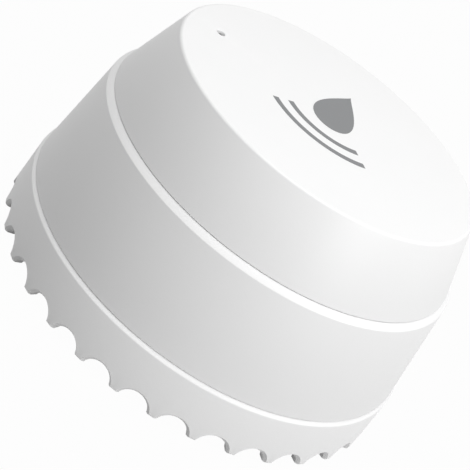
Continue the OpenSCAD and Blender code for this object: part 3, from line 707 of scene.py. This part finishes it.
# Indicator: a surface lamp on the board under an upright light pipe that carries its light to the cap.
# The lamp is cast resin with tinned ends; the pipe is clear acrylic with a hollow foot over the lamp.
lamp_spot = (-19.488, -0.681)
lamp_resin = surface("lamp_resin", (0.80, 0.74, 0.52), 0.32, 0.3, 0.006, 0.1, 0.1)
lamp_body = block("status_lamp", (-0.72, -0.6, board_top), (0.72, 0.6, 7.98), 0.12)
lamp_dome = turned("lamp_dome", [(0, 7.6), (0.5, 7.6), (0.46, 7.86), (0.33, 7.97), (0, 8.0)], 0, 32)
combine(lamp_body, lamp_dome, "UNION")
smooth(lamp_body)
place_on("base", repeat_at(lamp_body, [lamp_spot]), lamp_resin, "status_led")
lamp_ends = repeat_at(block("lamp_ends", (-0.18, -0.62, board_top), (0.18, 0.62, 7.62), 0.05), [
    (lamp_spot[0] - 0.82, lamp_spot[1]), (lamp_spot[0] + 0.82, lamp_spot[1])])
place_on("base", lamp_ends, tinned)


def clear_plastic(name, tint, gloss):
    """Clear moulded acrylic with faint flow marks."""
    look = surface(name, tint, gloss, 1.2, 0.01, 0.02, 0.05)
    skin = look.node_tree.nodes["Principled BSDF"]
    skin.inputs["Transmission Weight"].default_value = 1.0
    skin.inputs["IOR"].default_value = 1.49
    return look


clear_acrylic = clear_plastic("clear_acrylic", (0.93, 0.97, 0.97), 0.06)
pipe = turned("light_pipe_piece", [
    (0, 8.5), (1.68, 8.5), (1.68, board_top), (2.48, board_top), (2.48, 9.4), (1.3, 9.9), (1.3, 32.7),
    (0.8, 33.2), (0, 33.2)], soften=0.08, steps=64)
place_on("base", repeat_at(pipe, [lamp_spot]), clear_acrylic, "light_pipe")


# Sounder: the round alarm buzzer beside the battery tray, with its sound hole on top.
# Black moulded can with a stepped lid and a parting line near its foot; its pins are soldered under it.
black_mould = surface("black_mould", (0.026, 0.026, 0.028), 0.46, 0.22, 0.02, 0.2, 0.1)
sounder = turned("sounder_can", [
    (0, board_top), (6, board_top), (6, 8.3), (5.88, 8.38), (5.88, 8.5), (6, 8.58), (6, 15.2), (5.5, 15.7),
    (4.5, 15.7), (4.4, 15.52), (3.9, 15.52), (3.8, 15.7), (1.4, 15.7), (1.0, 15.45), (1.0, 14.2), (0, 14.2)],
    soften=0.07, steps=120)
place_on("base", repeat_at(sounder, [(18.4, 0)]), black_mould, "sounder")


# Reset switch: a square push switch with a tall plunger that a finger reaches with the housing off.
# Black moulded body under a stamped steel cover held by four melted studs; bent tinned legs.
switch_spot = (-18, 7.5)
switch = block("switch_body", (-3, -3, board_top), (3, 3, 10.3), 0.15)
combine(switch, rod("well", 1.81, 8.5, 11, 40), "DIFFERENCE")
studs = repeat_at(turned("studs", [(0, 10.2), (0.5, 10.2), (0.5, 10.62), (0.3, 10.74), (0, 10.76)], 0, 24), [
    (x, y) for x in (-2.3, 2.3) for y in (-2.3, 2.3)])
combine(switch, studs, "UNION")
smooth(switch)
place_on("base", repeat_at(switch, [switch_spot]), black_mould, "reset_switch")
cover = block("switch_cover", (-2.85, -2.85, 10.28), (2.85, 2.85, 10.62), 0.08)
combine(cover, rod("cover_hole", 2.05, 10, 11, 40), "DIFFERENCE")
smooth(cover)
place_on("base", repeat_at(cover, [switch_spot]), bright_nickel)
legs = repeat_at(block("switch_legs", (-0.35, -0.12, board_top), (0.35, 0.12, 9.4), 0.05), [
    (switch_spot[0] + x, switch_spot[1] + y) for x in (-2.25, 2.25) for y in (-3.1, 3.1)])
place_on("base", legs, tinned)

plunger_red = surface("plunger_red", (0.42, 0.045, 0.03), 0.42, 0.2, 0.015, 0.12, 0.1)
plunger = turned("reset_plunger", [
    (0, 8.95), (1.75, 8.95), (1.75, 14.9), (1.5, 15.2), (1.1, 15.2), (0.7, 15.08), (0, 15.03)], 0.06, 56)
place_on("reset_button", repeat_at(plunger, [switch_spot]), plunger_red, "reset_button")


# Battery tray: the pale carrier over the board, with a trough for each cell and four legs to the base.
# Moulded polycarbonate blend; its end walls hold the contacts and slots let their legs down to the board.
def lay(piece, turn, place):
    """Turn a finished piece by degrees about X, Y and Z, put it in its place and keep that in its mesh."""
    piece.rotation_euler = [math.radians(a) for a in turn]
    piece.location = [v * MM for v in place]
    bpy.ops.object.select_all(action="DESELECT")
    piece.select_set(True)
    bpy.context.view_layer.objects.active = piece
    bpy.ops.object.transform_apply()
    return piece


cell_x, cell_z = 5.75, 20.2
tray_x, tray_y, bay_y, end_wall_t = 12.25, 25.15, 24.05, 1.1
tray_low, ear_top = 13.8, 15.4
tray_grey = surface("tray_grey", (0.60, 0.61, 0.61), 0.5, 0.3, 0.03, 0.04, 0.08)
tray = block("battery_tray_piece", (-tray_x, -tray_y, tray_low), (tray_x, tray_y, 18.1), 0.25)
for y in (-tray_y, bay_y):
    combine(tray, block("end_wall", (-tray_x, y, 15.5), (tray_x, y + end_wall_t, 21.95), 0.25), "UNION")
combine(tray, rod("round_ends", 26.797, 13, 23, 160), "INTERSECT")
for x in (-cell_x, cell_x):
    trough = rod("trough", 5.4, -bay_y, bay_y, 96)
    combine(tray, lay(trough, (90, 0, 0), (x, 0, cell_z)), "DIFFERENCE")
tray_posts = repeat_at(rod("tray_posts", post_r, board_top, ear_top, 48), post_spots)
for x, y in post_spots:
    low, high = sorted((math.copysign(11.95, x), x))
    combine(tray, block("ear", (low, y - post_r, tray_low), (high, y + post_r, ear_top), 0), "UNION")
combine(tray, tray_posts, "UNION")
combine(tray, repeat_at(rod("screw_ways", screw_hole_r, 6, 17, 32), post_spots), "DIFFERENCE")
for x in (-cell_x, cell_x):
    combine(tray, block("leg_slot", (x - 0.95, 23.5, 12), (x + 0.95, bay_y, 20), 0), "DIFFERENCE")
    # A shallow finger notch in each end wall lets a cell be tipped out.
    notch = rod("notch", 2.6, -2, 2, 48)
    combine(tray, lay(notch, (90, 0, 0), (x, -24.6, 22.9)), "DIFFERENCE")
smooth(tray)
place_on("base", tray, tray_grey, "battery_tray")


# Tray screws: four thread-forming screws through the tray's legs and the board into the base.
# Cold-headed steel with a bright zinc plate; the heads are domed, with a cross for the driver.
screws = turned("tray_screws_piece", [(0, 3.35), (0.45, 3.35)] + thread(0.95, 0.2, 0.7, 3.8, 11.5) + [
    (0.8, 12), (0.95, ear_top), (1.9, ear_top), (1.9, 15.85), (1.7, 16.3), (1.3, 16.6), (0.7, 16.77),
    (0, 16.8)], soften=0.05, steps=48)
combine(screws, driver_cross(1.05, 0.42, 16.0, 17.2), "DIFFERENCE")
smooth(screws)
place_on("base", repeat_at(screws, post_spots), bright_nickel, "tray_screws")


# Contacts: two terminals at one end of the tray, a bridge at the other, and a coil spring for each flat end.
# Stamped from nickel-plated strip, with a pressed dome for each button; the springs are plated wire.
contact_y, pad_near, pad_far, pad_low, pad_high = 23.65, 2.25, 9.25, 16.3, 22.3


def button_dome(name, side):
    """Pressed dome that stands off a contact towards a cell's button."""
    dome = turned(name, [
        (0, -0.2), (2.6, -0.2), (2.3, 0.12), (2.0, 0.75), (1.7, 1.15), (1.3, 1.32), (0, 1.35)], 0.1, 48)
    return lay(dome, (90 * side, 0, 0), (-cell_x * side, contact_y * side, cell_z))


strip_nickel = surface("strip_nickel", (0.74, 0.72, 0.68), 0.26, 0.16, 0.006, 0.1, 0.2, (1, 1, 0.06), 1.0)
terminals = block("terminals", (-pad_far, contact_y, pad_low), (-pad_near, bay_y, pad_high), 0.08)
second_pad = block("pad", (pad_near, contact_y, pad_low), (pad_far, bay_y, pad_high), 0.08)
combine(terminals, second_pad, "UNION")
for x in (-cell_x, cell_x):
    combine(terminals, block("leg", (x - 0.8, 23.66, board_top), (x + 0.8, 24.04, 16.8), 0.06), "UNION")
combine(terminals, button_dome("dome", 1), "UNION")
smooth(terminals)
place_on("base", terminals, strip_nickel, "terminal_plates")

bridge = block("bridge", (-pad_far, -bay_y, pad_low), (-pad_near, -contact_y, pad_high), 0.08)
second_pad = block("pad", (pad_near, -bay_y, pad_low), (pad_far, -contact_y, pad_high), 0.08)
combine(bridge, second_pad, "UNION")
combine(bridge, block("strip", (-3, -24.04, 20.5), (3, -23.66, 22.29), 0.06), "UNION")
combine(bridge, button_dome("dome", -1), "UNION")
smooth(bridge)
place_on("base", bridge, strip_nickel, "bridge_plate")


def wound(name, places, wire):
    """Wire of a given thickness wound along a list of places."""
    piece = start_point(name, places[0])
    draw_line(places)
    bpy.ops.object.mode_set(mode="OBJECT")
    bpy.ops.object.convert(target="CURVE")
    piece.data.bevel_depth = wire / 2 * MM
    piece.data.bevel_resolution = 3
    piece.data.use_fill_caps = True
    bpy.ops.object.convert(target="MESH")
    edit(piece)
    return close(piece, 60)


wire, coil_r, coil_taper, coil_turns, coil_steps = 0.45, 3.1, 1.9, 2, 96
coil_off, coil_l = 0.275, 0.85
for side, name in ((1, "spring_by_terminal"), (-1, "spring_by_bridge")):
    coil = []
    for i in range(coil_steps + 1):
        part = i / coil_steps
        r, a = coil_r - coil_taper * part, 2 * coil_turns * math.pi * part
        coil.append((cell_x * side + r * math.cos(a), side * (contact_y - coil_off - coil_l * part),
                     cell_z + side * r * math.sin(a)))
    spring = wound(name, coil, wire)
    place_on("base", spring, bright_nickel, *(["contact_springs"] if side == 1 else []))


# Battery cells: two AAA cells side by side, one each way round.
# Plated steel cans in a shrunk printed sleeve, dark with a copper-coloured band towards the button.
sleeve_dark, sleeve_copper = (0.022, 0.024, 0.028), (0.42, 0.16, 0.055)
cell_sleeve = surface("cell_sleeve", sleeve_dark, 0.22, 0.4, 0.01, 0.15, 0.1)
nodes, links = cell_sleeve.node_tree.nodes, cell_sleeve.node_tree.links
sleeve_place = nodes.new("ShaderNodeTexCoord")
sleeve_across = nodes.new("ShaderNodeSeparateXYZ")
links.new(sleeve_place.outputs["Object"], sleeve_across.inputs[0])
which_way = math_node(nodes, links, "SIGN", sleeve_across.outputs["X"])
from_button = math_node(nodes, links, "MULTIPLY", sleeve_across.outputs["Y"], which_way)
to_button = math_node(nodes, links, "MULTIPLY", from_button, -1)
line_from, line_to, band_from = 7.6, 8.2, 9
copper_band = math_node(nodes, links, "GREATER_THAN", to_button, band_from * MM)
past_line = math_node(nodes, links, "GREATER_THAN", to_button, line_from * MM)
before_line = math_node(nodes, links, "LESS_THAN", to_button, line_to * MM)
thin_line = math_node(nodes, links, "MULTIPLY", past_line, before_line)
copper_parts = math_node(nodes, links, "MAXIMUM", copper_band, thin_line)
links.new(mixed(nodes, links, copper_parts, sleeve_dark, sleeve_copper), nodes["finish"].inputs["Colour"])
links.new(math_node(nodes, links, "MULTIPLY", copper_band, 0.7), nodes["Principled BSDF"].inputs["Metallic"])
can_steel = surface("can_steel", (0.68, 0.67, 0.64), 0.28, 0.3, 0.006, 0.12, 0.18, metallic=1.0)
cell_half_l = 22.25
cans, sleeves = [], []
for side in (1, -1):
    can = turned("battery_cans", [
        (0, 0.14), (2.9, 0.14), (3.3, 0), (4.3, 0), (4.75, 0.3), (4.75, 43.1), (4.4, 43.45), (2.9, 43.45),
        (2.6, 43.15), (1.9, 43.2), (1.9, 44.2), (1.6, 44.5), (0, 44.5)], 0.08, 72)
    cans.append(lay(can, (90 * side, 0, 0), (cell_x * side, cell_half_l * side, cell_z)))
    sleeve = turned("battery_sleeves", [
        (4.45, 0.02), (4.8, 0.02), (5.12, 0.18), (5.25, 0.5), (5.25, 43.0), (5.12, 43.32), (4.8, 43.5),
        (4.2, 43.5), (4.2, 43.3), (4.6, 43.2), (4.6, 0.3), (4.45, 0.02)], 0.05, 96)
    sleeves.append(lay(sleeve, (90 * side, 0, 0), (cell_x * side, cell_half_l * side, cell_z)))
for pair, look, solids in ((cans, can_steel, []), (sleeves, cell_sleeve, ["battery_cells"])):
    combine(pair[0], pair[1], "UNION")
    smooth(pair[0])
    place_on("base", pair[0], look, *solids)


# Sealing ring: a round cord ring in the neck's groove, which the housing slides over as it is twisted home.
# Moulded silicone with the faint line that its two mould halves leave.
cord_r, ring_r, ring_z = 0.75, 27.897, 8.95
around = [(ring_r + cord_r * math.cos(a), ring_z + cord_r * math.sin(a)) for a in
          [math.radians(15 * i) for i in range(25)]]
around[0] = around[24] = (ring_r + cord_r + 0.03, ring_z)
seal = turned("sealing_ring", around, soften=0)
place_on("base_seal", seal, seal_rubber, "base_seal")


# Middle shell: the tapering white ring between the two seams.
# ABS; its tongue drops inside the base's rim, and three lugs inside run in the base's channels.
gasket_in, gasket_out, gasket_low, gasket_high = 27.397, 27.847, 24.75, 25.35
shell = turned("middle_shell_moulding", [
    (28.797, 6.9), (29.847, 6.9), (29.847, 8.5), (31.317, 8.5), (29.197, 24.4), (28.347, 25.25),
    (27.897, 25.25), (27.897, gasket_low), (gasket_in, gasket_low), (27.436, 24.45), (27.947, 24.45),
    (27.947, 23.75), (27.527, 23.75), (29.197, 10.9), (28.797, 10.1), (28.797, 6.9)], soften=0.07)
lug_in, lug_out, lug_low, lug_high = 27.447, 29.6, 10.6, 11.9
lug = draw_section("lug", [
    (lug_in, lug_low), (lug_out, lug_low), (lug_out, lug_high), (lug_in, lug_high), (lug_in, lug_low)], 0.12)
bpy.ops.mesh.edge_face_add()
bpy.ops.mesh.spin(steps=8, angle=-math.radians(lug_span), center=(0, 0, 0), axis=(0, 0, 1))
close(lug)
combine(shell, repeat_round(lug, lug_count), "UNION")
smooth(shell)
place_on("housing", shell, white_case, "middle_shell")


# Cap gasket: a flat soft ring that the cap presses on the middle shell's rim.
# White silicone, cut from a moulded sleeve.
white_silicone = surface("white_silicone", (0.66, 0.66, 0.65), 0.6, 0.25, 0.015, 0.06, 0.1)
gasket = flat_ring("cap_gasket_ring", gasket_in, gasket_out, gasket_low, gasket_high, 0.12)
place_on("housing", gasket, white_silicone, "cap_gasket")


# Top cap: the white moulded lid with a flat top, a crisp edge and one pinhole for the light.
# ABS; its spigot and bead snap into the middle shell, and a boss under the pinhole holds the plug.
cap_top, boss_low, plug_seat = 36.4, 33.7, 34.9
cap = turned("top_cap_moulding", [
    (0, 34.6), (23.42, 34.6), (25.897, 27.436), (25.897, 23.6), (27.197, 23.6), (27.197, 23.85),
    (27.847, 24.05), (27.847, 24.15), (27.197, 24.35), (27.197, gasket_high), (28.419, gasket_high),
    (24.597, cap_top, 0.34), (0, cap_top)], soften=0.07)
combine(cap, repeat_at(rod("boss", 2.6, boss_low, plug_seat, 40), [lamp_spot]), "UNION")
pinhole = repeat_at(turned("pinhole", [
    (0, 32), (1.66, 32), (1.66, plug_seat), (0.675, plug_seat), (0.675, 36.32), (0.7, 36.37), (0.79, 36.46),
    (0.9, 36.6), (0, 36.6)], 0, 48), [lamp_spot])
combine(cap, pinhole, "DIFFERENCE")
smooth(cap)
place_on("housing", cap, white_case, "top_cap")


# Indicator plug: the stud pressed into the cap's boss, whose tip shows in the pinhole.
# Acrylic tinted near black as painted shade, so that the pinhole reads as a shadowed hole; a flange below and
# a slightly domed tip.
# The near-black tint is painted shade for the inside of the pinhole, not the plug's own colour.
painted_shade_acrylic = clear_plastic("painted_shade_acrylic", (0.07, 0.075, 0.08), 0.2)
plug = turned("indicator_plug", [
    (0, boss_low), (1.6, boss_low), (1.6, 34.85), (0.64, 34.85), (0.64, 35.9), (0.5, 36.02), (0.25, 36.07),
    (0, 36.08)], soften=0.04, steps=48)
place_on("housing", repeat_at(plug, [lamp_spot]), painted_shade_acrylic, "indicator_window")


# Print on the cap: a plain water drop over two ripples, the common sign for a water sensor.
# Pad-printed grey ink, a few hundredths of a millimetre thick.
print_ink = surface("print_ink", (0.19, 0.195, 0.2), 0.5, 0.15, 0.008, 0.15, 0.1)
ink_low, ink_high = cap_top - 0.02, cap_top + 0.025
drop_w, drop_h, drop_y, drop_taper, drop_steps = 4.5, 7, 3.5, 1.4, 48
drop_outline = []
for i in range(drop_steps):
    a = 2 * math.pi * i / drop_steps
    drop_outline.append((drop_w * math.sin(a) * math.sin(a / 2) ** drop_taper, drop_y + drop_h * math.cos(a)))
place_on("housing", flat_shape("drop_print", drop_outline, ink_low, ink_high), print_ink)
arc_from, arc_span, arc_steps, arc_half_w, arc_y = 228, 84, 32, 0.5, 2
for name, r in (("inner_ripple", 8.6), ("outer_ripple", 11.4)):
    arc = [math.radians(arc_from + arc_span * i / arc_steps) for i in range(arc_steps + 1)]
    band = [(r + arc_half_w, a) for a in arc] + [(r - arc_half_w, a) for a in arc[::-1]]
    outline = [(far * math.cos(a), arc_y + far * math.sin(a)) for far, a in band]
    place_on("housing", flat_shape(name, outline, ink_low, ink_high), print_ink)
